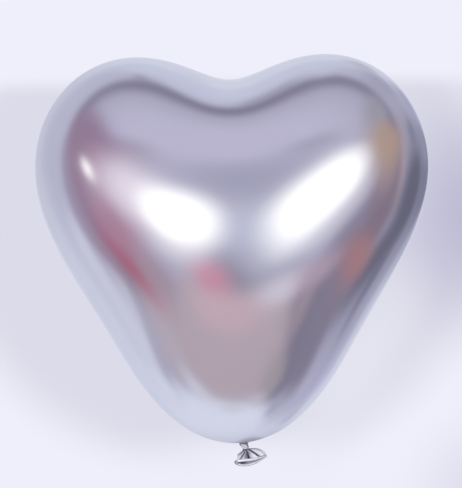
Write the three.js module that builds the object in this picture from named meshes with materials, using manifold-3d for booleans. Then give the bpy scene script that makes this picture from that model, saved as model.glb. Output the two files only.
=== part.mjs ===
/**
 * Heart-shaped latex balloon, filled with gas and tied off at its neck.
 *
 * Millimetres, +Z up. The front of the heart faces -Y. The origin is the middle of the neck,
 * just under the skin, where a hand, a ribbon or a stick holds the balloon.
 *
 * The skin is drawn thicker than real latex, and the neck is left open as it was moulded:
 * the real knot squeezes it shut.
 */
import * as THREE from 'three';
import { mergeVertices } from 'three/addons/utils/BufferGeometryUtils.js';
import Module from 'manifold-3d';

const wasm = await Module();
wasm.setup();

// Outline of the heart, seen from the front: its radius about the body's centre, at an angle
// from straight up, is a mean radius with a few cosine swings round the outline.
const MEAN_RADIUS = 142;
const OUTLINE = [
  { waves: 0, swing: MEAN_RADIUS },
  { waves: 1, swing: -17.5 }, // longer towards the tip
  { waves: 2, swing: -4 }, // wider than it is tall
  { waves: 3, swing: -22.5 }, // two lobes and a point
  { waves: 5, swing: -3.7 }, // shoulders of the lobes
  { waves: 7, swing: -0.8 }, // depth of the notch
];

// Body
const HALF_DEPTH = 95; // front to middle, where the heart is fattest
const TIP_FATNESS = 0.08; // share by which the depth grows to the tip and shrinks to the notch
const RIM_STRAIGHTNESS = 0.5; // how far the skin runs straight out from the centre at its rim
const NOTCH_THINNING = 0.15; // share by which the depth shrinks on top of that at the notch
const THINNING_START = 0.3; // where it starts: 0 is the body's centre, 1 its top
const WALL = 0.55;
const FACET_DETAIL = 10;
const MERGE_DISTANCE = 1e-4;
const BODY_CENTRE = new THREE.Vector3(-5.5, 0, 184.7); // the neck sits a little right of the point

// Neck
const RUNNING_GAP = 0.3;
const NECK_BORE = 2.95;
const NECK_RADIUS = 3.3;
const NECK_TOP = 3.6;
const NECK_BOTTOM = -0.9;
const THROAT_LENGTH = 22; // the round cut through the skin at the point, which passes right through it
const ROUND_STEPS = 32;

// Knot: it hangs a little right of the neck
const KNOT_SHIFT = 1.2;
const LOOP_RADIUS = 2.6;
const LOOP_THICKNESS = 1.2;
const LOOP_STEPS = 24;
const LOOP_SECTION_STEPS = 10;
const LOOP_HEIGHT = NECK_BOTTOM - RUNNING_GAP - LOOP_THICKNESS;
const CORE_RADIUS = LOOP_RADIUS - LOOP_THICKNESS - RUNNING_GAP;
const CORE_TOP = NECK_BOTTOM - RUNNING_GAP;
const CORE_PROUD = 0.1; // how far the strand shows below the loop
const CORE_BOTTOM = LOOP_HEIGHT - LOOP_THICKNESS - CORE_PROUD;

// Tail: it hangs from the knot, leans to the right and turns its mouth to the front
const TAIL_DROP = 0.92; // keeps the turned skirt's upper edge clear of the knot
const TAIL_TOP = CORE_BOTTOM - TAIL_DROP;
const TAIL_TOP_SHIFT = 2; // right of the neck
const TAIL_LEAN = THREE.MathUtils.degToRad(11);
const TAIL_TURN = THREE.MathUtils.degToRad(36);
const TAIL_LENGTH = 9;
const MOUTH_SHIFT = 1.8; // how far the mouth lies right of the tail's own axis
const TAIL_TOP_RADIUS = 1.4;
const SKIRT_WALL = 0.7;
const SKIRT_FOLDS = 7;
const SKIRT_FOLD_DEPTH = 0.1;
const SKIRT_RINGS = 5;
const SKIRT_STEPS = 48;
const LIP_HALF_LENGTH = 11.9;
const LIP_HALF_WIDTH = 4.9;
const LIP_THICKNESS = 0.9;
const LIP_STEPS = 36;
const LIP_SECTION_STEPS = 8;

const chromeLatex = new THREE.MeshStandardMaterial({ color: 0xc6c6d2, roughness: 0.22, metalness: 1 });
const stretchedLatex = new THREE.MeshStandardMaterial({ color: 0xb4b4c0, roughness: 0.32, metalness: 0.9 });
const slackLatex = new THREE.MeshStandardMaterial({ color: 0xa9a9b6, roughness: 0.4, metalness: 0.8 });

/** Leaves a geometry with positions alone, its shared corners joined and no flat triangles. */
function joined(geometry) {
  geometry.deleteAttribute('normal');
  geometry.deleteAttribute('uv');
  const merged = mergeVertices(geometry, MERGE_DISTANCE);
  const corners = merged.getIndex().array;
  const kept = [];
  for (let i = 0; i < corners.length; i += 3) {
    const [a, b, c] = [corners[i], corners[i + 1], corners[i + 2]];
    if (a !== b && b !== c && c !== a) kept.push(a, b, c);
  }
  merged.setIndex(kept);
  return merged;
}

/** Turns a closed geometry's triangles round if they face inwards. */
function facingOut(geometry) {
  const closed = joined(geometry);
  const place = closed.getAttribute('position');
  const corners = Array.from(closed.getIndex().array);
  const [p, q, r] = [new THREE.Vector3(), new THREE.Vector3(), new THREE.Vector3()];
  let volume = 0;
  for (let i = 0; i < corners.length; i += 3) {
    p.fromBufferAttribute(place, corners[i]);
    q.fromBufferAttribute(place, corners[i + 1]);
    r.fromBufferAttribute(place, corners[i + 2]);
    volume += p.dot(q.cross(r));
  }
  if (volume < 0) corners.reverse();
  closed.setIndex(corners);
  return closed;
}

/** Makes a solid that can be cut. */
function toSolid(geometry) {
  const closed = facingOut(geometry);
  return new wasm.Manifold(
    new wasm.Mesh({
      numProp: 3,
      vertProperties: new Float32Array(closed.getAttribute('position').array),
      triVerts: new Uint32Array(closed.getIndex().array),
    }),
  );
}

/** Gives a cut solid back as a geometry. */
function toGeometry(solid) {
  const mesh = solid.getMesh();
  const geometry = new THREE.BufferGeometry();
  geometry.setAttribute('position', new THREE.BufferAttribute(new Float32Array(mesh.vertProperties), 3));
  geometry.setIndex(new THREE.BufferAttribute(new Uint32Array(mesh.triVerts), 1));
  geometry.computeVertexNormals();
  return geometry;
}

/** A round solid about Z from a closed profile of [radius, height] corners. */
function turned(profile, steps) {
  const corners = profile.map(([radius, height]) => new THREE.Vector2(radius, height));
  return new THREE.LatheGeometry(corners, steps).rotateX(Math.PI / 2);
}

/** Moves a point of the unit sphere to the heart's surface. Its middle plane spreads over the outline. */
function toHeart(point) {
  const reach = Math.hypot(point.x, point.z);
  const angle = Math.atan2(point.x, point.z);
  let across = 0;
  let up = 0;
  let radius = 0;
  for (const { waves, swing } of OUTLINE) {
    radius += swing * Math.cos(waves * angle);
    const far = (swing / 2) * reach ** (waves + 1);
    const near = (swing / 2) * reach ** Math.abs(waves - 1);
    across += far * Math.sin((waves + 1) * angle) - near * Math.sin((waves - 1) * angle);
    up += far * Math.cos((waves + 1) * angle) + near * Math.cos((waves - 1) * angle);
  }
  const straight = RIM_STRAIGHTNESS * reach * reach;
  const thinning = NOTCH_THINNING * THREE.MathUtils.smoothstep(point.z, THINNING_START, 1);
  const depth = HALF_DEPTH * (1 - TIP_FATNESS * point.z) * (1 - thinning) * point.y;
  across = THREE.MathUtils.lerp(across, radius * point.x, straight);
  up = THREE.MathUtils.lerp(up, radius * point.z, straight);
  return point.set(across, depth, up).add(BODY_CENTRE);
}

/** The heart's outer or inner surface. */
function heartSurface(inset) {
  const geometry = joined(new THREE.IcosahedronGeometry(1, FACET_DETAIL));
  const place = geometry.getAttribute('position');
  const point = new THREE.Vector3();
  for (let i = 0; i < place.count; i++) {
    toHeart(point.fromBufferAttribute(place, i).normalize());
    place.setXYZ(i, point.x, point.y, point.z);
  }
  geometry.computeVertexNormals();
  const normal = geometry.getAttribute('normal');
  for (let i = 0; i < place.count; i++) {
    point.fromBufferAttribute(normal, i).multiplyScalar(-inset);
    place.setXYZ(i, place.getX(i) + point.x, place.getY(i) + point.y, place.getZ(i) + point.z);
  }
  return geometry;
}

/** The inflated skin: a thin heart-shaped shell with a round throat at its point. */
function envelopeGeometry() {
  const throat = new THREE.CylinderGeometry(
    NECK_RADIUS + RUNNING_GAP,
    NECK_RADIUS + RUNNING_GAP,
    THROAT_LENGTH,
    ROUND_STEPS,
  ).rotateX(Math.PI / 2);
  const skin = toSolid(heartSurface(0)).subtract(toSolid(heartSurface(WALL)));
  return toGeometry(skin.subtract(toSolid(throat)));
}

/** The drawn-down neck: a short tube through the throat. */
function neckGeometry() {
  return turned(
    [
      [NECK_BORE, NECK_BOTTOM],
      [NECK_RADIUS, NECK_BOTTOM],
      [NECK_RADIUS, NECK_TOP],
      [NECK_BORE, NECK_TOP],
      [NECK_BORE, NECK_BOTTOM],
    ],
    ROUND_STEPS,
  );
}

/** The turn of neck that is drawn tight round the rest. */
function knotLoopGeometry() {
  const loop = new THREE.TorusGeometry(LOOP_RADIUS, LOOP_THICKNESS, LOOP_SECTION_STEPS, LOOP_STEPS);
  return loop.translate(0, 0, LOOP_HEIGHT);
}

/** The strand that runs down through the knot's loop. */
function knotCoreGeometry() {
  return turned(
    [
      [0, CORE_BOTTOM],
      [CORE_RADIUS, CORE_BOTTOM],
      [CORE_RADIUS, CORE_TOP],
      [0, CORE_TOP],
    ],
    ROUND_STEPS / 2,
  );
}

/** The slack tail below the knot: a pleated skirt that opens from the knot to the oval lip. */
function tailSkirtGeometry() {
  const top = -RUNNING_GAP;
  const bottom = -TAIL_LENGTH + LIP_THICKNESS + RUNNING_GAP;
  const outside = [];
  const inside = [];
  for (let i = 0; i <= SKIRT_RINGS; i++) {
    const share = i / SKIRT_RINGS;
    const height = THREE.MathUtils.lerp(top, bottom, share);
    const radius = THREE.MathUtils.lerp(TAIL_TOP_RADIUS, LIP_HALF_WIDTH, share);
    outside.push([radius + SKIRT_WALL / 2, height]);
    inside.unshift([radius - SKIRT_WALL / 2, height]);
  }
  const geometry = joined(turned([...outside, ...inside, outside[0]], SKIRT_STEPS));
  const place = geometry.getAttribute('position');
  for (let i = 0; i < place.count; i++) {
    const [x, y, z] = [place.getX(i), place.getY(i), place.getZ(i)];
    const share = (z - top) / (bottom - top);
    const fold = 1 + SKIRT_FOLD_DEPTH * Math.sin(Math.PI * share) * Math.cos(SKIRT_FOLDS * Math.atan2(y, x));
    const widen = THREE.MathUtils.lerp(1, LIP_HALF_LENGTH / LIP_HALF_WIDTH, share);
    place.setXYZ(i, x * fold * widen + MOUTH_SHIFT * share, y * fold, z);
  }
  return geometry;
}

/** The rolled bead round the mouth. */
function rolledLipGeometry() {
  const ring = new THREE.TorusGeometry(LIP_HALF_WIDTH, LIP_THICKNESS, LIP_SECTION_STEPS, LIP_STEPS);
  const geometry = joined(ring);
  const place = geometry.getAttribute('position');
  for (let i = 0; i < place.count; i++) {
    const [x, y, z] = [place.getX(i), place.getY(i), place.getZ(i)];
    const stretch = (LIP_HALF_LENGTH - LIP_HALF_WIDTH) * (x / Math.hypot(x, y));
    place.setXYZ(i, x + stretch + MOUTH_SHIFT, y, z - TAIL_LENGTH);
  }
  return geometry;
}

/** A named piece of the balloon. */
function piece(name, geometry, material) {
  const mesh = new THREE.Mesh(facingOut(geometry), material);
  mesh.geometry.computeVertexNormals();
  mesh.name = name;
  return mesh;
}

const balloon = new THREE.Group();
balloon.add(
  piece('envelope', envelopeGeometry(), chromeLatex),
  piece('neck', neckGeometry(), stretchedLatex),
);

const knot = new THREE.Group();
knot.position.set(KNOT_SHIFT, 0, 0);
knot.add(
  piece('knot_loop', knotLoopGeometry(), stretchedLatex),
  piece('knot_core', knotCoreGeometry(), stretchedLatex),
);
balloon.add(knot);

const tail = new THREE.Group();
tail.position.set(TAIL_TOP_SHIFT, 0, TAIL_TOP);
tail.rotation.set(-TAIL_TURN, -TAIL_LEAN, 0, 'YXZ');
tail.add(
  piece('tail_skirt', tailSkirtGeometry(), slackLatex),
  piece('rolled_lip', rolledLipGeometry(), slackLatex),
);
balloon.add(tail);

export default balloon;
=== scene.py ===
"""
Heart-shaped latex balloon with a chrome finish, tied off at its neck, hanging in a pale studio.

Metres, +Z up. The front of the heart faces -Y, and the origin is the middle of the neck, just under the skin.
The classes below give their sizes in millimetres, and a mesh is scaled to metres when its points are written.
"""

import logging
import math
from dataclasses import dataclass
from enum import Enum
from typing import Any

import bpy
import numpy as np
from mathutils import Euler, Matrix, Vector


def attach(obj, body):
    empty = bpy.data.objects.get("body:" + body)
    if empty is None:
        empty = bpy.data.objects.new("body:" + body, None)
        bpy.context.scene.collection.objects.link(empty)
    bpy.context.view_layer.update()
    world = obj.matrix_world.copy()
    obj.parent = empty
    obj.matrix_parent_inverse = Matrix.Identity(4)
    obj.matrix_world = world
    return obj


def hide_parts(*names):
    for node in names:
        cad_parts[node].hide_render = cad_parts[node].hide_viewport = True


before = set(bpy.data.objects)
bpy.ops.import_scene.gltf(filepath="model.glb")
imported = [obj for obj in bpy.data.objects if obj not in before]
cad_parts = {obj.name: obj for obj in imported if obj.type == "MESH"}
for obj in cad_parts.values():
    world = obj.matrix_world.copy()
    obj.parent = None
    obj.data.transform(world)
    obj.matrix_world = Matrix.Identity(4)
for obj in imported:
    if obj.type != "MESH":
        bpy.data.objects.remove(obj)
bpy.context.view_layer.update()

log = logging.getLogger("heart_balloon")

Piece = bpy.types.Object
Tree = bpy.types.NodeTree
Socket = bpy.types.NodeSocket
Array = np.ndarray
Span = tuple[float, float]
Triple = tuple[float, float, float]

MM = 0.001
BODY = "root"
PAINTED_SHADE = "painted_shade"  # a mesh's own attribute of painted shade: 0 on its folds, up to 1 down between them, in gaps and on shaded sides


def linear(colour: str) -> Triple:
    """Turns an sRGB hex colour to linear light.

    Args:
        colour: Six hex digits, such as "DBDFE6".

    Returns:
        Red, green and blue from 0 to 1.
    """
    shares = (int(colour[i : i + 2], 16) / 255 for i in (0, 2, 4))
    return tuple(s / 12.92 if s <= 0.04045 else ((s + 0.055) / 1.055) ** 2.4 for s in shares)


def smooth(low: float, high: float, value: Array) -> Array:
    """Rises smoothly from 0 at low to 1 at high."""
    share = np.clip((value - low) / (high - low), 0, 1)
    return share * share * (3 - 2 * share)


def unit(rows: Array) -> Array:
    """Brings each row to a length of 1."""
    return rows / np.linalg.norm(rows, axis=1)[:, None]


def add_node(
    tree: Tree,
    kind: str,
    inputs: dict[str | int, Any] | None = None,
    output: str = "",
    **settings: Any,
) -> Socket | None:
    """Adds a node, sets it up and joins it to what feeds it.

    Args:
        tree: Node tree of a material or of the world.
        kind: Blender's name for the node, without ShaderNode in front.
        inputs: Each input's name or number, with its value or the socket that feeds it.
        output: Name of the output to give back, where it isn't the first one in use.
        settings: The node's own properties.

    Returns:
        The output socket, or None for a node that has none.
    """
    node = tree.nodes.new("ShaderNode" + kind)
    for name, value in settings.items():
        setattr(node, name, value)
    for name, value in (inputs or {}).items():
        socket = node.inputs[name] if isinstance(name, int) else next(
            s for s in node.inputs if s.enabled and s.name == name
        )
        if isinstance(value, Socket):
            tree.links.new(value, socket)
        else:
            socket.default_value = value
    return next((s for s in node.outputs if s.enabled and output in ("", s.name)), None)


def empty_tree(owner: bpy.types.Material | bpy.types.World) -> Tree:
    """Gives a material or the world an empty node tree.

    Args:
        owner: The new material or world.

    Returns:
        Its node tree, without nodes.
    """
    owner.use_nodes = True
    owner.node_tree.nodes.clear()
    return owner.node_tree


def deselect() -> None:
    """Leaves edit mode and deselects every object."""
    if bpy.context.object and bpy.context.object.mode != "OBJECT":
        bpy.ops.object.mode_set(mode="OBJECT")
    bpy.ops.object.select_all(action="DESELECT")


def pick(piece: Piece) -> None:
    """Selects one object alone and makes it the active one.

    Args:
        piece: The object.
    """
    deselect()
    piece.select_set(True)
    bpy.context.view_layer.objects.active = piece


def points_of(piece: Piece) -> Array:
    """Reads a mesh's points.

    Args:
        piece: The mesh object.

    Returns:
        Its points as rows of x, y and z.
    """
    points = np.empty(len(piece.data.vertices) * 3)
    piece.data.vertices.foreach_get("co", points)
    return points.reshape(-1, 3)


def move_points(piece: Piece, points: Array) -> None:
    """Puts a mesh's points at new places, given in millimetres."""
    piece.data.vertices.foreach_set("co", (points * MM).ravel())
    piece.data.update()


def keep_painted_shade(piece: Piece, painted_shade: Array) -> None:
    """Writes each point's painted shade to the mesh, from 0 to 1: deepest down in creases."""
    own = piece.data.attributes.new(PAINTED_SHADE, "FLOAT", "POINT")
    own.data.foreach_set("value", painted_shade)


def select_points(piece: Piece, chosen: Array) -> None:
    """Selects the chosen points of a mesh and opens it in edit mode.

    Args:
        piece: The mesh object.
        chosen: One true or false for each point.
    """
    mesh = piece.data
    mesh.vertices.foreach_set("select", chosen)
    for parts in (mesh.edges, mesh.polygons):
        parts.foreach_set("select", np.array([chosen[list(part.vertices)].all() for part in parts]))
    bpy.context.view_layer.objects.active = piece
    bpy.ops.object.mode_set(mode="EDIT")


def draw_down(steps: int) -> None:
    """Extrudes what is selected straight down and leaves edit mode.

    Args:
        steps: How many times. Each is as long as any other, and the points get their places later.
    """
    for _ in range(steps):
        bpy.ops.mesh.extrude_region_move(TRANSFORM_OT_translate={"value": (0, 0, -1)})
    bpy.ops.object.mode_set(mode="OBJECT")


def face_outwards(piece: Piece) -> None:
    """Turns all faces outwards.

    Args:
        piece: A mesh object whose faces hang together.
    """
    deselect()
    select_points(piece, np.ones(len(piece.data.vertices), bool))
    bpy.ops.mesh.normals_make_consistent(inside=False)
    bpy.ops.object.mode_set(mode="OBJECT")


def apply_modifier(piece: Piece, kind: str, **settings: Any) -> None:
    """Adds a modifier to a piece, sets it up and applies it.

    Args:
        piece: The mesh object.
        kind: Blender's name for the modifier, in capitals.
        settings: The modifier's own properties.
    """
    pick(piece)
    modifier = piece.modifiers.new(kind.title(), kind)
    for name, value in settings.items():
        setattr(modifier, name, value)
    bpy.ops.object.modifier_apply(modifier=modifier.name)


@dataclass(frozen=True)
class LatexFinish:
    """Natural rubber latex, dipped on a smooth former and filled with fine metal pigment.

    Blown up, the skin is drawn so tight that the pigment lies flat and it mirrors the room. Where it stays
    slack or is gathered, the pigment lies rough, so the same rubber looks darker and more satin.
    """

    name: str
    slot: str  # the record's material slot
    colour: str
    edge_tint: str  # of what it mirrors at a grazing angle
    metallic: float
    roughness: float
    roughness_spread: float  # up and down, in cloudy patches
    cloud_size: float  # mm across one cloudy patch of the pigment
    cloud_colour: str
    ripple_size: float  # mm across one long soft ripple of the skin
    ripple_height: float  # mm
    grain_size: float  # mm across the fine grain that the dip leaves
    grain_height: float  # mm
    neck_colour: str  # where the skin is gathered and thick, at the neck
    neck_roughness: float  # added there, and less and less up to where the skin is drawn tight
    painted_shade_colour: str  # painted shade, down in its folds, in gaps and on shaded sides
    neck_start: float = 4.0  # mm from the neck's middle
    neck_end: float = 20.0  # mm
    tight_from: float = 55.0  # mm from the neck's middle

    def dress(self, piece: Piece, name: str, node: str, mirrored: bool = True) -> None:
        """Names a piece, smooths it, gives it this finish and puts it on the balloon.

        Args:
            piece: The finished mesh, in metres, in its place.
            name: Name of the piece.
            node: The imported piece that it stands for.
            mirrored: Whether the skin mirrors it. The skin stays plain and pale down to the knot.
        """
        pick(piece)
        bpy.ops.object.shade_smooth()
        piece.name = name
        piece.data.name = name
        piece.data.materials.append(self.build())
        piece.visible_glossy = mirrored
        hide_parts(node)
        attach(piece, BODY)
        log.info("%s: %d faces, finished in %s", name, len(piece.data.polygons), self.name)

    def build(self) -> bpy.types.Material:
        """Makes the material, the first time that a piece asks for it.

        Returns:
            A material on Object coordinates and the piece's own painted shade.
        """
        if self.name in bpy.data.materials:
            return bpy.data.materials[self.name]
        material = bpy.data.materials.new(self.name)
        tree = empty_tree(material)
        place = add_node(tree, "TexCoord", output="Object")
        patterns = ((self.cloud_size, 3), (self.ripple_size, 1), (self.grain_size, 2))
        cloud, ripple, grain = (
            add_node(tree, "TexNoise", {"Vector": place, "Scale": 1 / (size * MM), "Detail": finer_layers})
            for size, finer_layers in patterns
        )
        reach = add_node(tree, "VectorMath", {0: place}, "Value", operation="LENGTH")
        gathered, loose = (
            add_node(
                tree,
                "MapRange",
                {"Value": reach, "From Min": start * MM, "From Max": end * MM, "To Min": 1, "To Max": 0},
                interpolation_type="SMOOTHSTEP",
            )
            for start, end in ((self.neck_start, self.neck_end), (self.neck_end / 2, self.tight_from))
        )
        # painted shade: the piece's own attribute darkens it towards its painted shade colour
        painted_shade = add_node(tree, "Attribute", output="Fac", attribute_name=PAINTED_SHADE)
        overlays = ((cloud, self.cloud_colour), (gathered, self.neck_colour), (painted_shade, self.painted_shade_colour))
        colour = (*linear(self.colour), 1)
        for share, overlay in overlays:
            mixed = {"Factor": share, "A": colour, "B": (*linear(overlay), 1)}
            colour = add_node(tree, "Mix", mixed, data_type="RGBA")
        limits = {
            "Value": cloud,
            "To Min": self.roughness - self.roughness_spread,
            "To Max": self.roughness + self.roughness_spread,
        }
        patchy = add_node(tree, "MapRange", limits)
        factors = {0: loose, 1: self.neck_roughness, 2: patchy}
        roughness = add_node(tree, "Math", factors, operation="MULTIPLY_ADD")
        rippled = add_node(tree, "Bump", {"Height": ripple, "Distance": self.ripple_height * MM})
        relief = {"Height": grain, "Distance": self.grain_height * MM, "Normal": rippled}
        grained = add_node(tree, "Bump", relief)
        surface = {
            "Base Color": colour,
            "Metallic": self.metallic,
            "Roughness": roughness,
            "Specular Tint": (*linear(self.edge_tint), 1),
            "Normal": grained,
        }
        add_node(tree, "OutputMaterial", {"Surface": add_node(tree, "BsdfPrincipled", surface)})
        return material


# Chrome-finish latex, blown up tight: a clear, slightly soft mirror, pale silver with a breath of blue.
CHROME_SKIN = LatexFinish(
    name="chrome_latex_blown_tight",
    slot="chrome_latex_skin",
    colour="DBDFE6",
    edge_tint="EEEFF4",
    metallic=1.0,
    roughness=0.17,
    roughness_spread=0.015,
    cloud_size=34,
    cloud_colour="D6DAE2",
    ripple_size=60,
    ripple_height=0.02,
    grain_size=1.4,
    grain_height=0.0012,
    neck_colour="A6A8B8",
    neck_roughness=0.35,
    painted_shade_colour="8A8A9A",
)
# The same latex, pulled into a thin strand and gathered: bright folds with painted shade in the creases
# between them.
DRAWN_LATEX = LatexFinish(
    name="chrome_latex_drawn_into_folds",
    slot="drawn_latex_neck",
    colour="E2E7F0",
    edge_tint="4A4A56",
    metallic=0.6,
    roughness=0.28,
    roughness_spread=0.05,
    cloud_size=2.4,
    cloud_colour="D2D3DC",
    ripple_size=1.6,
    ripple_height=0.05,
    grain_size=0.35,
    grain_height=0.004,
    neck_colour="E2E7F0",
    neck_roughness=0.0,
    painted_shade_colour="3A3A48",
)
# The same latex, left slack as it was dipped: a thicker rubber with a satin shine and soft creases.
SLACK_LATEX = LatexFinish(
    name="chrome_latex_slack",
    slot="slack_latex_tail",
    colour="E3E8F1",
    edge_tint="4A4A56",
    metallic=0.5,
    roughness=0.3,
    roughness_spread=0.06,
    cloud_size=3.2,
    cloud_colour="D8D9E2",
    ripple_size=2.6,
    ripple_height=0.05,
    grain_size=0.4,
    grain_height=0.004,
    neck_colour="E3E8F1",
    neck_roughness=0.0,
    painted_shade_colour="343442",
)


def mirrored_light(colour: str) -> Triple:
    """The light that looks like this colour once the chrome skin mirrors it."""
    return tuple(seen / skin for seen, skin in zip(linear(colour), linear(CHROME_SKIN.colour)))


@dataclass
class Viewpoint:
    """The camera, straight in front of the heart and level, turned a little so that the heart leans left."""

    distance: float = 1500.0  # mm from the heart's middle plane
    aim_x: float = -7.1
    aim_z: float = 153.4
    picture_height: float = 371.1  # mm that the picture takes in at the heart's middle plane
    roll: float = -1.0  # degrees
    film_height: float = 36.0  # mm
    near_clip: float = 10.0  # mm

    def build(self) -> None:
        """Adds the camera and makes it the scene's own."""
        deselect()
        place = Vector((self.aim_x, -self.distance, self.aim_z)) * MM
        bpy.ops.object.camera_add(location=place, rotation=(math.pi / 2, 0, 0))
        camera = bpy.context.object
        camera.name = "camera"
        camera.rotation_euler.rotate_axis("Z", math.radians(self.roll))
        camera.data.sensor_width = self.film_height
        camera.data.lens = self.film_height * self.distance / self.picture_height
        camera.data.clip_start = self.near_clip * MM
        bpy.context.scene.camera = camera
        log.info("camera: %.0f mm lens, %.2f m away", camera.data.lens, self.distance * MM)


@dataclass(frozen=True)
class Fold:
    """One fold down the slack tail, at turns in degrees round it seen from above, 0 to the right."""

    top_turn: float
    bottom_turn: float
    depth: float  # mm inwards
    half_width: float  # degrees at the knot
    spread: float  # how much wider it is at the lip, in degrees
    painted_shade: float  # how dark the painted shade down it is, up to 1
    middle: float = 0.5  # where it is deepest: 0 is the knot, 1 the lip
    length: float = 5.0  # how far from there it fades out, as a share of the way down


@dataclass(frozen=True)
class Swing:
    """One cosine swing of the heart's outline: its waves round it, and its swing in millimetres."""

    waves: int
    swing: float


@dataclass(frozen=True)
class Gather:
    """One set of even pleats round the neck: how many, their share of the height and turn in radians."""

    count: int
    share: float
    phase: float


@dataclass(frozen=True)
class Hang:
    """How far the knot and the tail hang to the right of the neck, further the lower they are."""

    start: float = 1.8  # mm above the origin
    slope: float = 0.6

    def shift(self, height: Array) -> Array:
        """How far to the right of the neck's middle, at a height in millimetres."""
        drop = np.maximum(0, self.start - height)
        return self.slope * drop * drop / (drop + 1)


@dataclass
class Envelope:
    """The inflated skin and the neck that is drawn out of it."""

    outline: tuple[Swing, ...] = (
        Swing(0, 142),  # mean radius
        Swing(1, -17.5),  # longer towards the tip
        Swing(2, -4),  # wider than it is tall
        Swing(3, -22.5),  # two lobes and a point
        Swing(5, -3.7),  # shoulders of the lobes
        Swing(7, -0.8),  # depth of the notch
    )
    half_depth: float = 95
    tip_fatness: float = 0.08  # share by which the depth grows to the tip and shrinks to the notch
    rim_straightness: float = 0.5  # how far the skin runs straight out from the centre at its rim
    notch_thinning: float = 0.15  # share by which the depth shrinks on top of that at the notch
    thinning_start: float = 0.3  # where it starts: 0 is the body's centre, 1 its top
    centre: Triple = (-5.5, 0, 184.7)
    wall: float = 0.4
    segments: int = 240
    rings: int = 150
    ring_crowding: float = 1.8  # the rings lie closer towards the neck
    tip_blend: Span = (0.1, 0.5)  # radians from the neck to where its even grid ends
    neck_radius: float = 2.6
    neck_length: float = 2.2  # how far the skin is drawn down
    neck_reach: float = 6.5  # mm round the neck that are drawn down with it
    level_from: float = 0.5  # share of that, past which its pleats swing up and down
    neck_painted_shade: float = 0.8  # painted shade where the skin meets the knot: how dark it is, up to 1
    neck_shade_start: float = 1.2  # mm from the axis to where that starts to fade
    neck_shade_reach: float = 6.0  # mm from the axis to where it ends
    neck_ring_painted_shade: float = 0.62  # how dark the skin round the neck is, up to 1: painted shade, partly the slacker, thicker latex there
    shade_middle: float = 4.3  # mm to the right of the axis
    shade_half_length: float = 13.0  # mm to the left and the right
    shade_half_width: float = 25.0  # mm to the front and the back
    shade_fade: Span = (0.65, 1.1)  # shares of that oval between which it fades out
    neck_split: float = 2.9  # mm from the axis on the undrawn skin, where the neck piece starts
    gathers: tuple[Gather, ...] = (Gather(9, 0.5, 0.4), Gather(14, 0.3, 2.0), Gather(23, 0.2, 1.1))
    gather_height: float = 0.24
    gather_reach: float = 3.2
    hang: Hang = Hang()

    def build(self) -> None:
        """Models the skin with its neck, parts them and finishes both."""
        deselect()
        bpy.ops.mesh.primitive_uv_sphere_add(segments=self.segments, ring_count=self.rings, radius=1)
        skin = bpy.context.object
        points = points_of(skin)
        fall = math.pi * (np.arccos(np.clip(-points[:, 2], -1, 1)) / math.pi) ** self.ring_crowding
        turn = np.arctan2(points[:, 1], points[:, 0])
        reach = self._tip_scale() * fall
        move_points(skin, self._drawn_down(self._inflated(fall, turn), reach, turn))
        keep_painted_shade(skin, self._painted_shade(points_of(skin) / MM, reach))
        first_ring = math.pi * (0.5 / self.rings) ** self.ring_crowding * self._tip_scale()
        select_points(skin, reach < first_ring)
        bpy.ops.mesh.delete(type="VERT")
        bpy.ops.object.mode_set(mode="OBJECT")
        neck = self._part_neck(skin, reach[reach >= first_ring])
        for piece in (skin, neck):
            apply_modifier(piece, "SOLIDIFY", thickness=self.wall * MM, offset=-1)
        CHROME_SKIN.dress(skin, "inflated_skin", "envelope")
        DRAWN_LATEX.dress(neck, "gathered_neck", "neck")

    def _painted_shade(self, points: Array, reach: Array) -> Array:
        """How dark each point's painted shade is: most in the pleats by the knot, less round them, where the
        skin is also slacker and thicker.

        Args:
            points: The skin's points, in millimetres.
            reach: Each point's distance from the neck's axis before the neck is drawn down.

        Returns:
            A share from 0 to 1 for each point.
        """
        # painted shade where the skin meets the knot
        contact_shade = self.neck_painted_shade * (1 - smooth(self.neck_shade_start, self.neck_shade_reach, reach))
        # painted shade round the neck, partly the thicker latex there
        across = (points[:, 0] - self.shade_middle) / self.shade_half_length
        oval = np.hypot(across, points[:, 1] / self.shade_half_width)
        near = reach < 2 * self.shade_half_width  # the top, straight above, stays clear
        neck_ring_shade = self.neck_ring_painted_shade * (1 - smooth(*self.shade_fade, oval)) * near
        return np.maximum(contact_shade, neck_ring_shade)

    def _part_neck(self, skin: Piece, reach: Array) -> Piece:
        """Parts the neck's faces from the skin.

        Args:
            skin: The skin with its neck.
            reach: Each point's distance from the neck's axis before the neck is drawn down.

        Returns:
            The neck, as an object of its own.
        """
        select_points(skin, reach < self.neck_split)
        bpy.ops.mesh.separate(type="SELECTED")
        bpy.ops.object.mode_set(mode="OBJECT")
        return next(piece for piece in bpy.context.selected_objects if piece is not skin)

    def _radius(self, angle: float) -> float:
        """The outline's distance from the centre, at an angle from straight up."""
        return sum(s.swing * math.cos(s.waves * angle) for s in self.outline)

    def _tip_depth(self) -> float:
        """The half depth that the skin's curve has at the tip."""
        return self.half_depth * (1 + self.tip_fatness)

    def _tip_scale(self) -> float:
        """Millimetres of skin to one radian of the sphere at the tip, on average round it."""
        return math.sqrt(self._radius(math.pi) * self._tip_depth())

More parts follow.
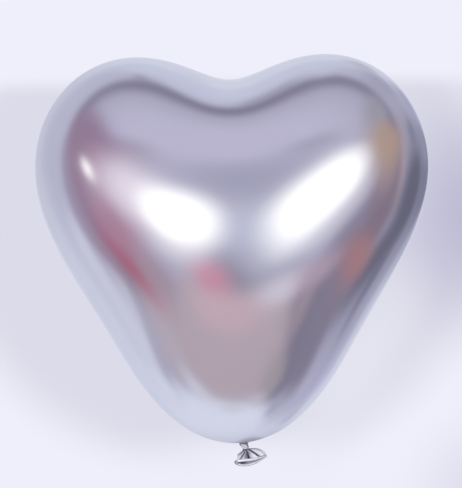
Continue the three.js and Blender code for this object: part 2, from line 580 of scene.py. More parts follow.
    def _inflated(self, fall: Array, turn: Array) -> Array:
        """Places on the heart for angles from its neck, and turns round it, on a sphere.

        Args:
            fall: Angle from the neck, in radians.
            turn: Turn round the neck, in radians.

        Returns:
            Points in millimetres.
        """
        near = 1 - smooth(*self.tip_blend, fall)
        across = np.cos(turn) * (1 + (self._tip_scale() / self._radius(math.pi) - 1) * near)
        deep = np.sin(turn) * (1 + (self._tip_scale() / self._tip_depth() - 1) * near)
        fall = fall * np.hypot(across, deep) ** near
        turn = np.arctan2(deep, across)
        tilt = math.asin(-self.centre[0] / self._radius(math.pi))
        flat = np.sin(fall) * np.cos(turn)
        x = flat * math.cos(tilt) + np.cos(fall) * math.sin(tilt)
        z = flat * math.sin(tilt) - np.cos(fall) * math.cos(tilt)
        y = np.sin(fall) * np.sin(turn)
        return self._on_heart(x, y, z)

    def _on_heart(self, x: Array, y: Array, z: Array) -> Array:
        """Moves points of the unit sphere to the heart. Its middle plane spreads over the outline.

        Args:
            x: How far to the right each point is.
            y: How far to the back.
            z: How far up.

        Returns:
            Points in millimetres.
        """
        reach = np.hypot(x, z)
        angle = np.arctan2(x, z)
        across = np.zeros_like(reach)
        up = np.zeros_like(reach)
        radius = np.zeros_like(reach)
        for s in self.outline:
            radius += s.swing * np.cos(s.waves * angle)
            far = s.swing / 2 * reach ** (s.waves + 1)
            near = s.swing / 2 * reach ** abs(s.waves - 1)
            across += far * np.sin((s.waves + 1) * angle) - near * np.sin((s.waves - 1) * angle)
            up += far * np.cos((s.waves + 1) * angle) + near * np.cos((s.waves - 1) * angle)
        straight = self.rim_straightness * reach**2
        across += straight * (radius * x - across)
        up += straight * (radius * z - up)
        thinning = self.notch_thinning * smooth(self.thinning_start, 1, z)
        depth = self.half_depth * (1 - self.tip_fatness * z) * (1 - thinning) * y
        return np.stack((across, depth, up), axis=1) + np.array(self.centre)

    def _drawn_down(self, points: Array, reach: Array, turn: Array) -> Array:
        """Draws the skin round the neck down into a gathered tube.

        Args:
            points: Points on the heart, in millimetres.
            reach: Each point's distance from the neck's axis.
            turn: Each point's turn round it.

        Returns:
            The points with the neck drawn out of them.
        """
        share = np.clip(reach / self.neck_reach, 0, 1)
        kept = 1 - share * share
        radius = np.sqrt(reach**2 + (self.neck_radius * kept) ** 2)
        drop = self.neck_length * (1 - share) ** 3
        gather = sum(g.share * np.cos(g.count * turn + g.phase) for g in self.gathers)
        gather = gather * self.gather_height * np.exp(-reach / self.gather_reach) * kept
        lying = smooth(0, self.level_from, share)
        pleated = radius + gather * (1 - lying)
        drawn = points.copy()
        near = reach < self.neck_reach
        drawn[near, 0] = (pleated * np.cos(turn))[near]
        drawn[near, 1] = (pleated * np.sin(turn))[near]
        drawn[:, 2] -= drop + gather * lying
        drawn[near, 0] += self.hang.shift(drawn[near, 2])
        return drawn


@dataclass
class Knot:
    """The neck, tied: a turn drawn tight round the strand that runs down through it."""

    middle: Triple = (-0.5, 0.0, -0.5)
    turns: float = 1.15
    start_turn: float = 130.0  # degrees round it, 0 to the right
    coil_radius: float = 1.8
    tucked_radius: float = 0.7  # at both ends, which dive under
    climb: float = 0.8  # mm between its ends
    tilt: float = 14.0  # degrees, the right side higher
    half_width: float = 1.2
    half_height: float = 2.1
    boxiness: float = 0.6  # of its section: 1 is an oval, less is squarer
    tuck_length: float = 0.16  # share of the turn in which each end dives under
    taper: float = 0.07  # share by which it is wider for each millimetre up
    wrinkles: int = 3
    wrinkle_depth: float = 0.08
    wrinkle_twist: float = 5.0  # how much they wind round it
    wrinkle_painted_shade: float = 0.4  # painted shade down in the wrinkles: how dark it is, up to 1
    side_painted_reflection: float = 0.8  # painted dark reflection on its left and right sides: how dark it is, up to 1
    side_start: float = 0.7  # where those sides start: 0 is its front, 1 its farthest left or right
    side_end: float = 0.97  # where they are darkest
    strand_top: float = -0.4
    strand_bottom: float = -4.0
    strand_radius: float = 1.5
    strand_flare: float = 0.5  # mm that it widens in its lower half
    strand_pleats: int = 9
    strand_pleat_depth: float = 0.09  # share of its radius
    strand_twist: float = 2.0  # radians, from its top to its bottom
    strand_steps: int = 24
    steps: int = 160
    section_steps: int = 48
    hang: Hang = Hang()

    def build(self) -> None:
        """Models and finishes the turn and the strand."""
        DRAWN_LATEX.dress(self._turn(), "knot_turn", "knot_loop", mirrored=False)
        DRAWN_LATEX.dress(self._strand(), "knot_strand", "knot_core", mirrored=False)

    def _tube(self, rings: int) -> tuple[Piece, Array, Array]:
        """A closed tube that is still straight.

        Args:
            rings: Number of steps along it.

        Returns:
            The mesh object, each point's share of the length and its turn round the tube.
        """
        deselect()
        bpy.ops.mesh.primitive_cylinder_add(
            vertices=self.section_steps, radius=1, depth=1, end_fill_type="NGON"
        )
        tube = bpy.context.object
        select_points(tube, points_of(tube)[:, 2] < 0)
        draw_down(rings)
        points = points_of(tube)
        top, bottom = points[:, 2].max(), points[:, 2].min()
        return tube, (top - points[:, 2]) / (top - bottom), np.arctan2(points[:, 1], points[:, 0])

    def _turn(self) -> Piece:
        """The turn of neck that is drawn tight round the rest.

        Returns:
            A closed mesh in its place, with its painted shade.
        """
        tube, share, around = self._tube(self.steps)
        tuck = smooth(0, self.tuck_length, share) * (1 - smooth(1 - self.tuck_length, 1, share))
        angle = math.radians(self.start_turn) + share * self.turns * 2 * math.pi
        coil = self.tucked_radius + (self.coil_radius - self.tucked_radius) * tuck
        swing = np.cos(self.wrinkles * around + self.wrinkle_twist * angle)
        wrinkle = 1 + self.wrinkle_depth * swing
        out = self.half_width * wrinkle * np.sign(np.cos(around)) * np.abs(np.cos(around)) ** self.boxiness
        up = self.half_height * wrinkle * np.sin(around)
        height = self.climb * (0.5 - share) + up + math.tan(math.radians(self.tilt)) * coil * np.cos(angle)
        radius = (coil + out) * (1 + self.taper * height)
        points = np.stack((radius * np.cos(angle), radius * np.sin(angle), height), axis=1)
        points += np.array(self.middle)
        points[:, 0] += self.hang.shift(points[:, 2])
        move_points(tube, points)
        # painted shade down in the wrinkles, and painted dark reflection on the left and right sides
        wrinkle_shade = self.wrinkle_painted_shade * smooth(0.2, 1, -swing)
        side_reflection = self.side_painted_reflection * smooth(self.side_start, self.side_end, np.abs(np.cos(angle)))
        keep_painted_shade(tube, np.maximum(wrinkle_shade, side_reflection))
        return tube

    def _strand(self) -> Piece:
        """The pleated strand that runs down through the turn.

        Returns:
            A closed mesh in its place, with its creases.
        """
        tube, share, around = self._tube(self.strand_steps)
        height = self.strand_top + (self.strand_bottom - self.strand_top) * share
        swing = np.cos(self.strand_pleats * around + self.strand_twist * share)
        pleat = 1 + self.strand_pleat_depth * swing
        radius = (self.strand_radius + self.strand_flare * smooth(0.5, 1, share)) * pleat
        x = radius * np.cos(around) + self.hang.shift(height)
        move_points(tube, np.stack((x, radius * np.sin(around), height), axis=1))
        # painted shade down between the pleats
        keep_painted_shade(tube, smooth(-0.5, 1, -swing))
        return tube


@dataclass
class Tail:
    """The slack end of the neck below the knot: a pleated skirt that opens to a rolled oval lip.

    Round the mouth a turn of 0 is its right end, 90 degrees its back and -90 degrees its front.
    """

    waist_centre: Triple = (2.0, 0.0, -2.7)
    waist_half_length: float = 2.5
    waist_half_width: float = 1.8
    lip_centre: Triple = (5.1, -5.3, -11.9)
    lip_half_length: float = 11.8
    lip_half_width: float = 2.5
    lip_pinch: float = 0.8  # how much narrower the mouth gets to the right
    lip_fullness: float = 0.8  # below 1, the mouth stays wide nearer to its ends
    lip_bow: float = 2.0  # mm by which its ends curl up
    lean: float = 11.0  # degrees, the right end of the lip higher
    mouth_turn: float = 36.0  # degrees by which the mouth turns to the front
    bead_radius: float = 0.9
    bead_pinch: float = 0.4  # share by which the bead is thinner at its right end
    bead_painted_shade: float = 0.75  # painted shade on the bead, most where it is tucked under: how dark it is, up to 1
    inner_shade: float = 0.9  # painted shade inside the mouth: how dark it is at its left end, up to 1
    wall: float = 0.35
    bulge: float = 0.8  # mm that the skirt runs out level all round before it turns down
    right_bulge: float = 7.5  # mm that it runs out further to the right
    left_bulge: float = 0.5  # mm that it runs out further to the left
    right_rise: float = 1.9  # mm that it climbs on its way out to the right
    drop: float = 1.5  # mm that it falls there elsewhere
    lip_approach: float = 3.0  # mm over which it comes down square to the mouth
    lip_flare: float = 0.3  # mm that it stands wider there
    left_tuck: float = 1.8  # mm that it stands narrower at the left end
    fold_loss: float = 0.85  # share of their depth that the folds lose down to the lip
    shade_narrowness: float = 1.5  # above 1, the painted shade down a fold is narrower than the fold
    knot_painted_shade: float = 0.7  # painted shade up under the knot: how dark it is, up to 1
    seam_painted_shade: float = 0.8  # painted shade along the lip at the front's right: how dark it is, up to 1
    folds: tuple[Fold, ...] = (
        Fold(-140, -176, 0.8, 13, -2, 1.5, 0.25, 0.3),
        Fold(-180, -180, 0.0, 12, 0, 1.1, 0.45, 0.3),
        Fold(-172, -180, -1.4, 12, 0, 0.0, 0.45, 0.14),
        Fold(-118, -136, 1.1, 13, -5, 1.0),
        Fold(-106, -112, 0.2, 7, 0, 0.45, 0.6, 0.5),
        Fold(-94, -95, 1.5, 15, -1, 1.1),
        Fold(-82, -74, 0.3, 10, -2, 0.5, 0.35, 0.3),
        Fold(-66, -48, 1.2, 12, -5, 1.1),
        Fold(-34, -22, 0.5, 5, 0, 0.5),
        Fold(-14, -8, 0.4, 4, 0, 0.4),
        Fold(22, 25, 0.8, 8, 0, 0.7),
        Fold(62, 58, 1.0, 9, 2, 0.9),
        Fold(100, 104, 1.0, 9, 3, 0.9),
        Fold(143, 140, 0.9, 8, 1, 0.8),
    )
    around_steps: int = 192
    down_steps: int = 44
    section_steps: int = 24

    def build(self) -> None:
        """Models and finishes the skirt and the lip."""
        SLACK_LATEX.dress(self._skirt(), "pleated_tail", "tail_skirt", mirrored=False)
        SLACK_LATEX.dress(self._lip(), "rolled_lip_bead", "rolled_lip", mirrored=False)

    def _axes(self) -> Array:
        """The mouth's own directions.

        Returns:
            Its length, its width and its way out, as rows.
        """
        turned = Euler((math.radians(-self.mouth_turn), 0, 0)).to_matrix()
        leaned = Euler((0, math.radians(-self.lean), 0)).to_matrix()
        both = leaned @ turned
        return np.array([both @ Vector(v) for v in ((1, 0, 0), (0, 1, 0), (0, 0, -1))])

    def _lip_line(self, turn: Array) -> Array:
        """The middle line of the lip's bead.

        Args:
            turn: Turn round the mouth, in radians, 0 at its right end and up to its back edge.

        Returns:
            Points in millimetres.
        """
        along = np.cos(turn)
        end_radius = self._bead_radius(along)
        cap_start = 1 - end_radius / self.lip_half_length
        into_cap = np.clip((np.abs(along) - cap_start) / (1 - cap_start), 0, 1)
        rounded = end_radius * np.sqrt(1 - into_cap**2)
        open_width = self.lip_half_width * (1 - along**2) ** self.lip_fullness * (1 - self.lip_pinch * along)
        width = np.sign(np.sin(turn)) * (rounded + open_width)
        length_axis, width_axis, _ = self._axes()
        flat = np.outer(along * self.lip_half_length, length_axis) + np.outer(width, width_axis)
        bow = np.outer(self.lip_bow * along**2, (0, 0, 1))
        return flat + bow + np.array(self.lip_centre)

    def _bead_radius(self, along: Array) -> Array:
        """The bead's radius along the mouth, from -1 at its left end to 1 at its right end."""
        return self.bead_radius * (1 - self.bead_pinch * smooth(0.2, 1, along))

    def _skirt(self) -> Piece:
        """The pleated skirt, as one sheet from the knot to the lip.

        Returns:
            A mesh in its place, with its wall and its painted shade.
        """
        deselect()
        bpy.ops.mesh.primitive_circle_add(vertices=self.around_steps, radius=1, fill_type="NOTHING")
        skirt = bpy.context.object
        select_points(skirt, np.ones(self.around_steps, bool))
        draw_down(self.down_steps)
        points = points_of(skirt)
        share = -points[:, 2] / self.down_steps
        turn = np.arctan2(points[:, 1], points[:, 0])
        move_points(skirt, self._skirt_points(share, turn))
        face_outwards(skirt)
        apply_modifier(skirt, "SOLIDIFY", thickness=self.wall * MM, offset=0)
        walls = points_of(skirt).reshape(2, len(points), 3)
        reaches = np.linalg.norm(walls / MM - self._middle(share), axis=2).sum(axis=1)
        # painted shade on the outside and the inside of the skirt
        shades = [self._painted_shade(share, turn), self._inner_painted_shade(share, turn)]
        keep_painted_shade(skirt, np.concatenate(shades if reaches[0] > reaches[1] else shades[::-1]))
        return skirt

    def _middle(self, share: Array) -> Array:
        """The skirt's middle line, at shares of the way down from the knot to the lip."""
        t = share[:, None]
        return np.array(self.waist_centre) * (1 - t) + np.array(self.lip_centre) * t

    def _skirt_points(self, share: Array, turn: Array) -> Array:
        """Places on the skirt, each on a curve that leaves the knot and comes down on the lip.

        Args:
            share: How far down, from 0 at the knot to 1 at the lip.
            turn: Turn round it, in radians.

        Returns:
            Points in millimetres.
        """
        right = smooth(-0.2, 1, np.cos(turn))
        left = smooth(0.5, 1, -np.cos(turn))
        out = np.stack((np.cos(turn), np.sin(turn), np.zeros_like(turn)), axis=1)
        waist = np.array(self.waist_centre) + out * (self.waist_half_length, self.waist_half_width, 0)
        lip = self._lip_line(turn)
        reach_out = (self.bulge + self.right_bulge * right + self.left_bulge * left)[:, None]
        rise = self.right_rise * right - self.drop * (1 - right)
        start = waist + out * reach_out + np.outer(rise, (0, 0, 1))
        flare = (self.lip_flare - self.left_tuck * left)[:, None]
        end = lip - self.lip_approach * self._axes()[2] + out * flare
        t = share[:, None]
        points = (1 - t) ** 3 * waist + 3 * (1 - t) ** 2 * t * start + 3 * (1 - t) * t**2 * end + t**3 * lip
        inward = unit(self._middle(share) - points)
        strength = smooth(-0.1, 0.45, share) * (1 - self.fold_loss * smooth(0.72, 1, share))
        for fold in self.folds:
            points = points + inward * (fold.depth * strength * self._fold_share(fold, share, turn))[:, None]
        return points

    @staticmethod
    def _fold_share(fold: Fold, share: Array, turn: Array) -> Array:
        """How much of a fold is at each point.

        Args:
            fold: The fold.
            share: How far down each point is, from 0 at the knot to 1 at the lip.
            turn: Its turn round the skirt, in radians.

        Returns:
            1 on the fold's middle line, falling to 0 on either side.
        """
        middle = np.radians(fold.top_turn + (fold.bottom_turn - fold.top_turn) * share)
        apart = np.degrees(np.arctan2(np.sin(turn - middle), np.cos(turn - middle)))
        across = np.exp(-((apart / (fold.half_width + fold.spread * share)) ** 2))
        return across * np.exp(-(((share - fold.middle) / fold.length) ** 2))

    def _painted_shade(self, share: Array, turn: Array) -> Array:
        """How dark the painted shade on each point of the skirt is: down its folds, along the lip and up by
        the knot.

        Args:
            share: How far down, from 0 at the knot to 1 at the lip.
            turn: Turn round it, in radians.

        Returns:
            A share from 0 to 1 for each point.
        """
        fading = 1 - smooth(0.78, 0.95, share)
        dark = np.zeros_like(share)
        for fold in self.folds:
            dark += fold.painted_shade * self._fold_share(fold, share, turn) ** self.shade_narrowness
        # painted shade along the lip at the front's right, and up under the knot
        seam_shade = self.seam_painted_shade * smooth(0.84, 0.93, share) * smooth(0.45, 0.75, np.cos(turn)) * (turn < 0)
        by_knot = self.knot_painted_shade * (1 - smooth(0, 0.15, share))
        return np.clip(dark * fading + seam_shade + by_knot, 0, 1)

    def _inner_painted_shade(self, share: Array, turn: Array) -> Array:
        """How dark the painted shade on each point inside the skirt is: most at the mouth's left end and up
        by the knot.
        """
        to_left = smooth(-0.4, 0.7, -np.cos(turn))
        return self.inner_shade * np.maximum(to_left, 1 - smooth(0.3, 0.8, share))

    def _lip(self) -> Piece:
        """The rolled bead round the mouth.

        Returns:
            A closed mesh in its place, with its painted shade.
        """
        deselect()
        ring = 2  # radius of the plain ring that it starts from, whose section has a radius of 1
        bpy.ops.mesh.primitive_torus_add(
            major_segments=self.around_steps,
            minor_segments=self.section_steps,
            major_radius=ring,
            minor_radius=1,
        )
        bead = bpy.context.object
        points = points_of(bead)
        turn = np.arctan2(points[:, 1], points[:, 0])
        out, rising = np.hypot(points[:, 0], points[:, 1]) - ring, points[:, 2]
        step = 2 * math.pi / self.around_steps
        along = unit(self._lip_line(turn + step) - self._lip_line(turn - step))
        across = unit(np.cross(along, self._axes()[2]))
        rise = np.cross(across, along)
        thickness = self._bead_radius(np.cos(turn))
        offset = across * (-out * thickness)[:, None] + rise * (rising * thickness)[:, None]
        move_points(bead, self._lip_line(turn) + offset)
        # painted shade on the bead
        keep_painted_shade(bead, self._bead_painted_shade(out, rising, turn))
        face_outwards(bead)
        return bead

    def _bead_painted_shade(self, out: Array, rising: Array, turn: Array) -> Array:
        """How dark the painted shade on each point of the bead is, from 0 to 1.

        Args:
            out: How far out from the mouth it is on the bead's section, from -1 to 1.
            rising: How far out of the mouth's plane it is there, from -1 to 1.
            turn: Its turn round the mouth, in radians.

        Returns:
            The darkest of the painted shades: where it is tucked in, turned under, at the ends, on the right
                and at the back.
        """
        tucked = smooth(0.45, 0.95, -rising)
        outer_side = 0.6 * out + 0.8 * rising
        under = smooth(0.3, 0.9, outer_side) * smooth(-0.4, 0.3, np.sin(turn))
        left_end = 1.2 * smooth(0.1, 0.8, out) * smooth(0.75, 0.98, -np.cos(turn))
        right_tip = smooth(0.1, 0.8, out) * smooth(0.93, 1, np.cos(turn))
        right = 0.35 * smooth(-0.2, 0.8, np.cos(turn))
        back = 0.25 * smooth(-0.2, 0.2, np.sin(turn))
        return self.bead_painted_shade * np.maximum.reduce((tucked, under, left_end, right_tip, right, back))


class Side(Enum):
    """Which half of the studio a light patch is on: the camera's side or the backdrop's."""

    CAMERA = -1
    BACKDROP = 1


@dataclass(frozen=True)
class Patch:
    """A soft-edged patch of light or shade round the balloon.

    Its place is given on a flat map of the directions on its side: 0 is the middle of the side, 1 is square
    to it, and between them it is the tangent of half the angle.
    """

    name: str
    across: float
    up: float
    half_width: float
    half_height: float
    colour: str  # as it looks in the chrome skin, or on the backdrop
    softness: float = 0.7  # share of its size over which the edge fades, each way
    tilt: float = 0  # degrees
    squareness: float = 2  # 2 is an ellipse, more is squarer
    strength: float = 1


@dataclass(frozen=True)
class SoftLight:
    """A round soft light on the tail and the floor. It isn't mirrored in the balloon."""

    name: str
    place: Triple  # mm
    turn: Triple  # degrees
    size: float  # mm across
    power: float  # watts
    spread: float  # degrees

    def build(self) -> None:
        """Adds the light."""
        deselect()
        turn = tuple(math.radians(angle) for angle in self.turn)
        bpy.ops.object.light_add(type="AREA", location=Vector(self.place) * MM, rotation=turn)
        light = bpy.context.object
        light.name = self.name
        light.data.shape = "DISK"
        light.data.size = self.size * MM
        light.data.energy = self.power
        light.data.spread = math.radians(self.spread)
        light.visible_glossy = False


@dataclass
class Studio:
    """The pale studio: what the balloon mirrors, the backdrop behind it with painted shadows of the balloon,
    the floor and two lights.
    """

    smallest_spread: float = 0.01  # keeps the flat maps from dividing by nothing at their far edge
    backdrop: str = "EFEFFB"
    room: str = "D0D4E6"  # as it looks in the chrome skin
    patches: tuple[Patch, ...] = (
        Patch("high_backdrop", 0.0, 11.0, 8.0, 8.0, "D3D7E4", 0.3),
        Patch("upper_left_grey", -2.9, 1.2, 1.9, 2.4, "C7C8D8", 0.5),
        Patch("room_haze", -0.05, 0.35, 1.85, 1.42, "B6B6CD", 0.35),
        Patch("upper_right_grey", 0.95, 2.0, 0.35, 0.4, "B8B8C8"),
        Patch("light_over_arch", 0.0, 1.65, 0.45, 0.3, "C5C9DE"),
        Patch("low_backdrop", 0.0, -2.0, 1.5, 1.0, "D6D9EA", 0.3),
        Patch("right_low_grey", 1.28, -0.91, 1.1, 0.7, "B3B1CB", 0.5),
        Patch("right_low_light", 1.82, -1.4, 0.4, 0.23, "C3C0DD", 0.7, -38),
        Patch("low_grey", 1.2, -1.85, 0.3, 0.4, "B7B7CF"),
        Patch("right_grey", 3.2, 0.05, 2.25, 1.3, "7F7F96", 0.5),
        Patch("right_high_grey", 2.3, 1.5, 0.9, 0.6, "A9A8C0", 0.6, 30),
        Patch("right_rim_light", 2.7, 0.55, 0.8, 0.35, "9595AD"),
        Patch("right_rim_grey", 4.0, -1.5, 1.0, 0.5, "ABACC3", 0.6),
        Patch("right_shade", 1.5, -0.2, 0.4, 0.47, "656478", 0.45, 0, 2.2),
        Patch("right_low_shade", 1.16, -0.52, 0.36, 0.15, "68667A", 0.6, -5),
        Patch("right_low_fringe", 1.42, -0.75, 0.16, 0.12, "6E6E84", 0.7, -30),
        Patch("right_shoulder_shade", 1.42, 0.5, 0.16, 0.2, "808096"),
        Patch("right_top_grey", 1.0, 1.2, 0.35, 0.4, "A3A1B8", 0.7, -40),
        Patch("dark_arch", 0.045, 0.12, 0.955, 1.05, "757188", 0.08, 0, 2.08),
        Patch("arch_top_shade", -0.13, 1.22, 0.07, 0.07, "9796AC", 0.8),
        Patch("arch_top_light", 0.17, 1.32, 0.1, 0.15, "C0C3DA", 0.8),
        Patch("ceiling", 0.03, 0.345, 0.73, 0.625, "ACAAC1", 0.14, 0, 2.3),
        Patch("ceiling_middle", -0.04, 0.48, 0.46, 0.3, "BBB7D1", 0.5),
        Patch("ceiling_right", 0.66, 0.6, 0.14, 0.22, "9A98A6", 0.6),
        Patch("ceiling_low_left", -0.38, 0.31, 0.13, 0.1, "A49CB3"),
        Patch("low_room", -0.16, -1.32, 0.57, 0.58, "D5D9EB", 0.2, 0, 3),
        Patch("low_left_light", -0.95, -0.97, 0.2, 0.15, "D2D6E8"),
        Patch("low_left_room", -0.96, -0.53, 0.28, 0.34, "C9CADD", 0.4),
        Patch("left_grey", -0.68, -0.6, 0.1, 0.24, "A8A6BA", 0.5, -22),
        Patch("left_floor_edge", -0.47, -0.48, 0.15, 0.27, "B2A8B6", 0.4, -10),
        Patch("left_low_glow", -0.35, -0.72, 0.13, 0.1, "C9C8D9", 0.7, -30),
        Patch("taupe_floor", -0.02, -0.46, 0.38, 0.31, "B1A3AF", 0.17),
        Patch("room_under_taupe", -0.04, -0.87, 0.13, 0.06, "C8C8D7"),
        Patch("taupe_top", -0.02, -0.28, 0.18, 0.08, "C4ABB5"),
        Patch("left_edge_grey", -0.87, 0.0, 0.13, 0.42, "988FA6", 0.5),
        Patch("left_wash", -0.64, 0.2, 0.22, 0.5, "927A94", 0.35, 0, 2.2),
        Patch("left_inner_glow", -0.5, 0.06, 0.17, 0.22, "B49CB2"),
        Patch("low_right_shade", 0.665, -0.58, 0.19, 0.35, "817B90", 0.55, -3, 2.4),
        Patch("warm_edge", 0.41, -0.36, 0.05, 0.1, "9A8B98", 0.7, -10),
        Patch("taupe_low_right", 0.32, -0.64, 0.1, 0.14, "A0989F", 0.6),
        Patch("room_by_taupe", 0.2, -0.78, 0.09, 0.06, "BDB6C4"),
        Patch("low_right_fringe", 0.46, -0.99, 0.08, 0.14, "A2A3B8", 0.7, -20),
        Patch("right_wash", 0.85, -0.08, 0.2, 0.26, "807284", 0.5),
        Patch("right_wash_top", 0.8, 0.08, 0.1, 0.12, "968590"),
        Patch("grey_by_right_box", 0.585, -0.12, 0.12, 0.085, "857F97"),
        Patch("tan_glow", 0.77, 0.31, 0.2, 0.2, "AC9488", 0.6),
        Patch("right_strip", 1.05, 0.24, 0.06, 0.4, "A898A2"),
        Patch("salmon_glow", 0.8, -0.35, 0.25, 0.075, "A47A80", 0.6, -34),
        Patch("coral_glow", -0.57, -0.245, 0.155, 0.08, "A65E76", 0.8, -28),
        Patch("mauve_by_coral", -0.77, -0.31, 0.09, 0.05, "9A8098", 0.7, -30),
        Patch("rose_glow", -0.56, -0.1, 0.12, 0.1, "A88098", 0.8),
        Patch("shade_by_coral", -0.41, -0.23, 0.09, 0.07, "A08C9D"),
        Patch("shade_under_boxes", 0.05, -0.14, 0.15, 0.08, "827F96", 0.5),
        Patch("grey_under_right_box", 0.2, -0.175, 0.14, 0.06, "9898AE", 0.5),
        Patch("light_arc", 0.26, -0.24, 0.145, 0.046, "D1CADA", 0.55),
        Patch("pink_strip", 0.45, -0.24, 0.14, 0.05, "AE9AAE", 0.6, -5),
        Patch("small_coral_glow", -0.1, -0.17, 0.08, 0.05, "C8869E", 0.6, -15),
        Patch("shade_over_boxes", 0.06, 0.19, 0.28, 0.09, "A09FB8"),
        Patch("grey_over_right_box", 0.26, 0.36, 0.11, 0.08, "A4A2BA", 0.7, 30),
        Patch("haze_between_boxes", 0.07, -0.01, 0.14, 0.09, "B9BBD2", 0.8),
        Patch("left_box_halo", -0.38, 0.1, 0.16, 0.12, "E1D8E8", 0.7, -22),
        Patch("left_box_under", -0.24, -0.09, 0.11, 0.045, "D2CEDE", 0.8, -5),
        Patch("right_box_halo", 0.48, 0.02, 0.15, 0.08, "C6C2D2", 0.8, 30),
        Patch("right_box_under", 0.28, -0.09, 0.2, 0.05, "C6C7D9", 0.8, 8),
        Patch("left_soft_box", -0.2, 0.035, 0.15, 0.098, "FFFFFF", 0.5, -9, 2.2, 1.35),
        Patch("right_soft_box", 0.345, 0.095, 0.228, 0.115, "FFFFFF", 0.5, 33, 2.3, 1.35),
        Patch("small_lamp", -0.65, 0.17, 0.03, 0.055, "FFFFFF", 0.9, 30, 2, 1.5),
    )
    backdrop_patches: tuple[Patch, ...] = (  # only the camera sees these: painted shadows of the balloon on the backdrop, and lighter bands between them
        Patch("round_shade", -0.0117, 0.0074, 0.0598, 0.0598, "DCDBE9", 0.15),
        Patch("second_round_shade", 0.0023, 0.0099, 0.0629, 0.0629, "DCDBE9", 0.15),
        Patch("right_shade_behind", 0.0606, 0.0066, 0.0145, 0.021, "BEBCD3", 1.0),
        Patch("light_above", 0.0, 0.0923, 1.0, 0.0517, "EFEFFB", 0.06),
        Patch("low_corner_shade", 0.0657, -0.0662, 0.0152, 0.0152, "DCDAEA", 0.9),
        Patch("low_right_light_behind", 0.0307, -0.0324, 0.02, 0.008, "E4E4F0", 0.9, 58),
        Patch("light_below", 0.0023, -0.0583, 0.02, 0.009, "EEEEFB", 0.9),
    )
    floor_depth: float = 480.0  # mm below the origin
    floor_radius: float = 3000.0
    floor_steps: int = 96
    floor_fade: Span = (0.25, 0.95)  # shares of its radius between which it fades out
    floor_colour: str = "DADAE4"
    lights: tuple[SoftLight, ...] = (
        SoftLight("overhead_light", (400, -300, 2600), (0, 0, 0), 1600, 24, 150),
        SoftLight("front_light", (-500, -1500, 500), (72, 0, -18), 700, 30, 180),
    )

    def build(self) -> None:
        """Builds the world, the floor and the lights."""
        self._surroundings()
        self._floor()
        for light in self.lights:
            light.build()
        bpy.context.scene.view_settings.view_transform = "Standard"
        log.info("studio: %d light patches", len(self.patches))

    def _surroundings(self) -> None:
        """What the balloon mirrors, with the pale backdrop and its painted shadows where the camera looks
        past it.
        """
        world = bpy.data.worlds.new("studio")
        bpy.context.scene.world = world
        tree = empty_tree(world)
        way = add_node(tree, "TexCoord", output="Generated")
        front = self._flat_map(tree, way, Side.CAMERA)
        light = add_node(tree, "CombineXYZ", dict(enumerate(mirrored_light(self.room))))
        for patch in self.patches:
            light = self._lay_patch(tree, front, light, patch, mirrored_light(patch.colour))
        back = self._flat_map(tree, way, Side.BACKDROP)
        behind = add_node(tree, "CombineXYZ", dict(enumerate(linear(self.backdrop))))
        for patch in self.backdrop_patches:
            behind = self._lay_patch(tree, back, behind, patch, linear(patch.colour))
        seen = add_node(tree, "LightPath", output="Is Camera Ray")
        mirrored = add_node(tree, "Background", {"Color": light})
        backdrop = add_node(tree, "Background", {"Color": behind})
        shown = add_node(tree, "MixShader", {0: seen, 1: mirrored, 2: backdrop})
        add_node(tree, "OutputWorld", {"Surface": shown})

    def _flat_map(self, tree: Tree, way: Socket, side: Side) -> Socket:
        """Lays directions out flat about the middle of one side.

        Args:
            tree: The world's node tree.
            way: The direction that is looked in.
            side: Which half of the studio the map is of.

        Returns:
            The map, with x to the right and z as its y.
        """
        x, y, z = add_node(tree, "SeparateXYZ", {0: way}).node.outputs
        spread = add_node(tree, "Math", {0: y, 1: side.value, 2: 1.0}, operation="MULTIPLY_ADD")
        spread = add_node(tree, "Math", {0: spread, 1: self.smallest_spread}, operation="MAXIMUM")
        flat = [add_node(tree, "Math", {0: part, 1: spread}, operation="DIVIDE") for part in (x, z)]
        return add_node(tree, "CombineXYZ", dict(enumerate(flat)))

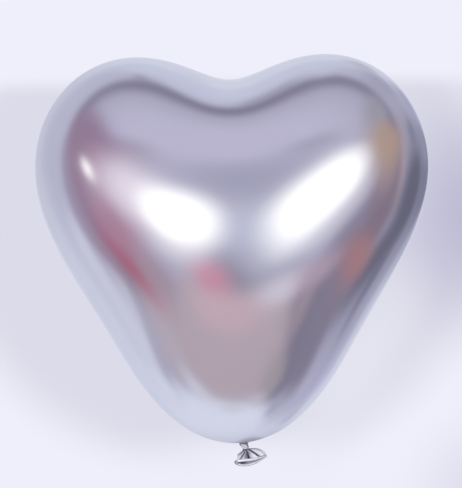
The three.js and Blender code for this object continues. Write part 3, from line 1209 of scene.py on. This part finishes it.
    @staticmethod
    def _lay_patch(tree: Tree, flat: Socket, light: Socket, patch: Patch, colour: Triple) -> Socket:
        """Lays one soft patch over the light so far.

        Args:
            tree: The world's node tree.
            flat: The flat map of directions.
            light: The light so far.
            patch: What to lay over it.
            colour: The patch's own light, in linear red, green and blue.

        Returns:
            The new light.
        """
        place = {
            "Vector": flat,
            "Location": (patch.across, patch.up, 0),
            "Rotation": (0, 0, math.radians(patch.tilt)),
            "Scale": (patch.half_width, patch.half_height, 1),
        }
        inside = add_node(tree, "Mapping", place, vector_type="TEXTURE", label=patch.name)
        inside = add_node(tree, "VectorMath", {0: inside}, operation="ABSOLUTE")
        power = (patch.squareness,) * 3
        inside = add_node(tree, "VectorMath", {0: inside, 1: power}, operation="POWER")
        total = add_node(tree, "VectorMath", {0: inside, 1: (1, 1, 0)}, "Value", operation="DOT_PRODUCT")
        size = add_node(tree, "Math", {0: total, 1: 1 / patch.squareness}, operation="POWER")
        edge = {
            "Value": size,
            "From Min": 1 - patch.softness,
            "From Max": 1 + patch.softness,
            "To Min": 1,
            "To Max": 0,
        }
        mask = add_node(tree, "MapRange", edge, interpolation_type="SMOOTHSTEP")
        colour = tuple(patch.strength * share for share in colour)
        return add_node(tree, "Mix", {"Factor": mask, "A": light, "B": colour}, data_type="VECTOR")

    def _floor(self) -> None:
        """A plain pale floor that fades out into the backdrop. It isn't mirrored, nor seen from below."""
        deselect()
        bpy.ops.mesh.primitive_circle_add(
            vertices=self.floor_steps,
            radius=self.floor_radius * MM,
            fill_type="NGON",
            location=(0, 0, -self.floor_depth * MM),
        )
        floor = bpy.context.object
        bpy.ops.object.transform_apply(location=True, rotation=True, scale=True)
        floor.name = "floor"
        floor.visible_glossy = False
        floor.visible_diffuse = False
        # Matt floor paint, rolled on: pale and even, with no shine
        material = bpy.data.materials.new("pale_painted_floor")
        tree = empty_tree(material)
        place = add_node(tree, "TexCoord", output="Object")
        level = add_node(tree, "VectorMath", {0: place, 1: (1, 1, 0)}, operation="MULTIPLY")
        reach = add_node(tree, "VectorMath", {0: level}, "Value", operation="LENGTH")
        start, end = (share * self.floor_radius * MM for share in self.floor_fade)
        edge = {"Value": reach, "From Min": start, "From Max": end}
        fade = add_node(tree, "MapRange", edge, interpolation_type="SMOOTHERSTEP")
        underside = add_node(tree, "NewGeometry", output="Backfacing")
        fade = add_node(tree, "Math", {0: fade, 1: underside}, operation="MAXIMUM")
        paint = add_node(tree, "BsdfDiffuse", {"Color": (*linear(self.floor_colour), 1)})
        clear = add_node(tree, "BsdfTransparent")
        shown = add_node(tree, "MixShader", {0: fade, 1: paint, 2: clear})
        add_node(tree, "OutputMaterial", {"Surface": shown})
        floor.data.materials.append(material)


def main() -> None:
    """Builds the camera, the balloon and the studio."""
    logging.basicConfig(level=logging.INFO, format="%(name)s: %(message)s")
    Viewpoint().build()
    Envelope().build()
    Knot().build()
    Tail().build()
    Studio().build()


if __name__ == "__main__":
    main()
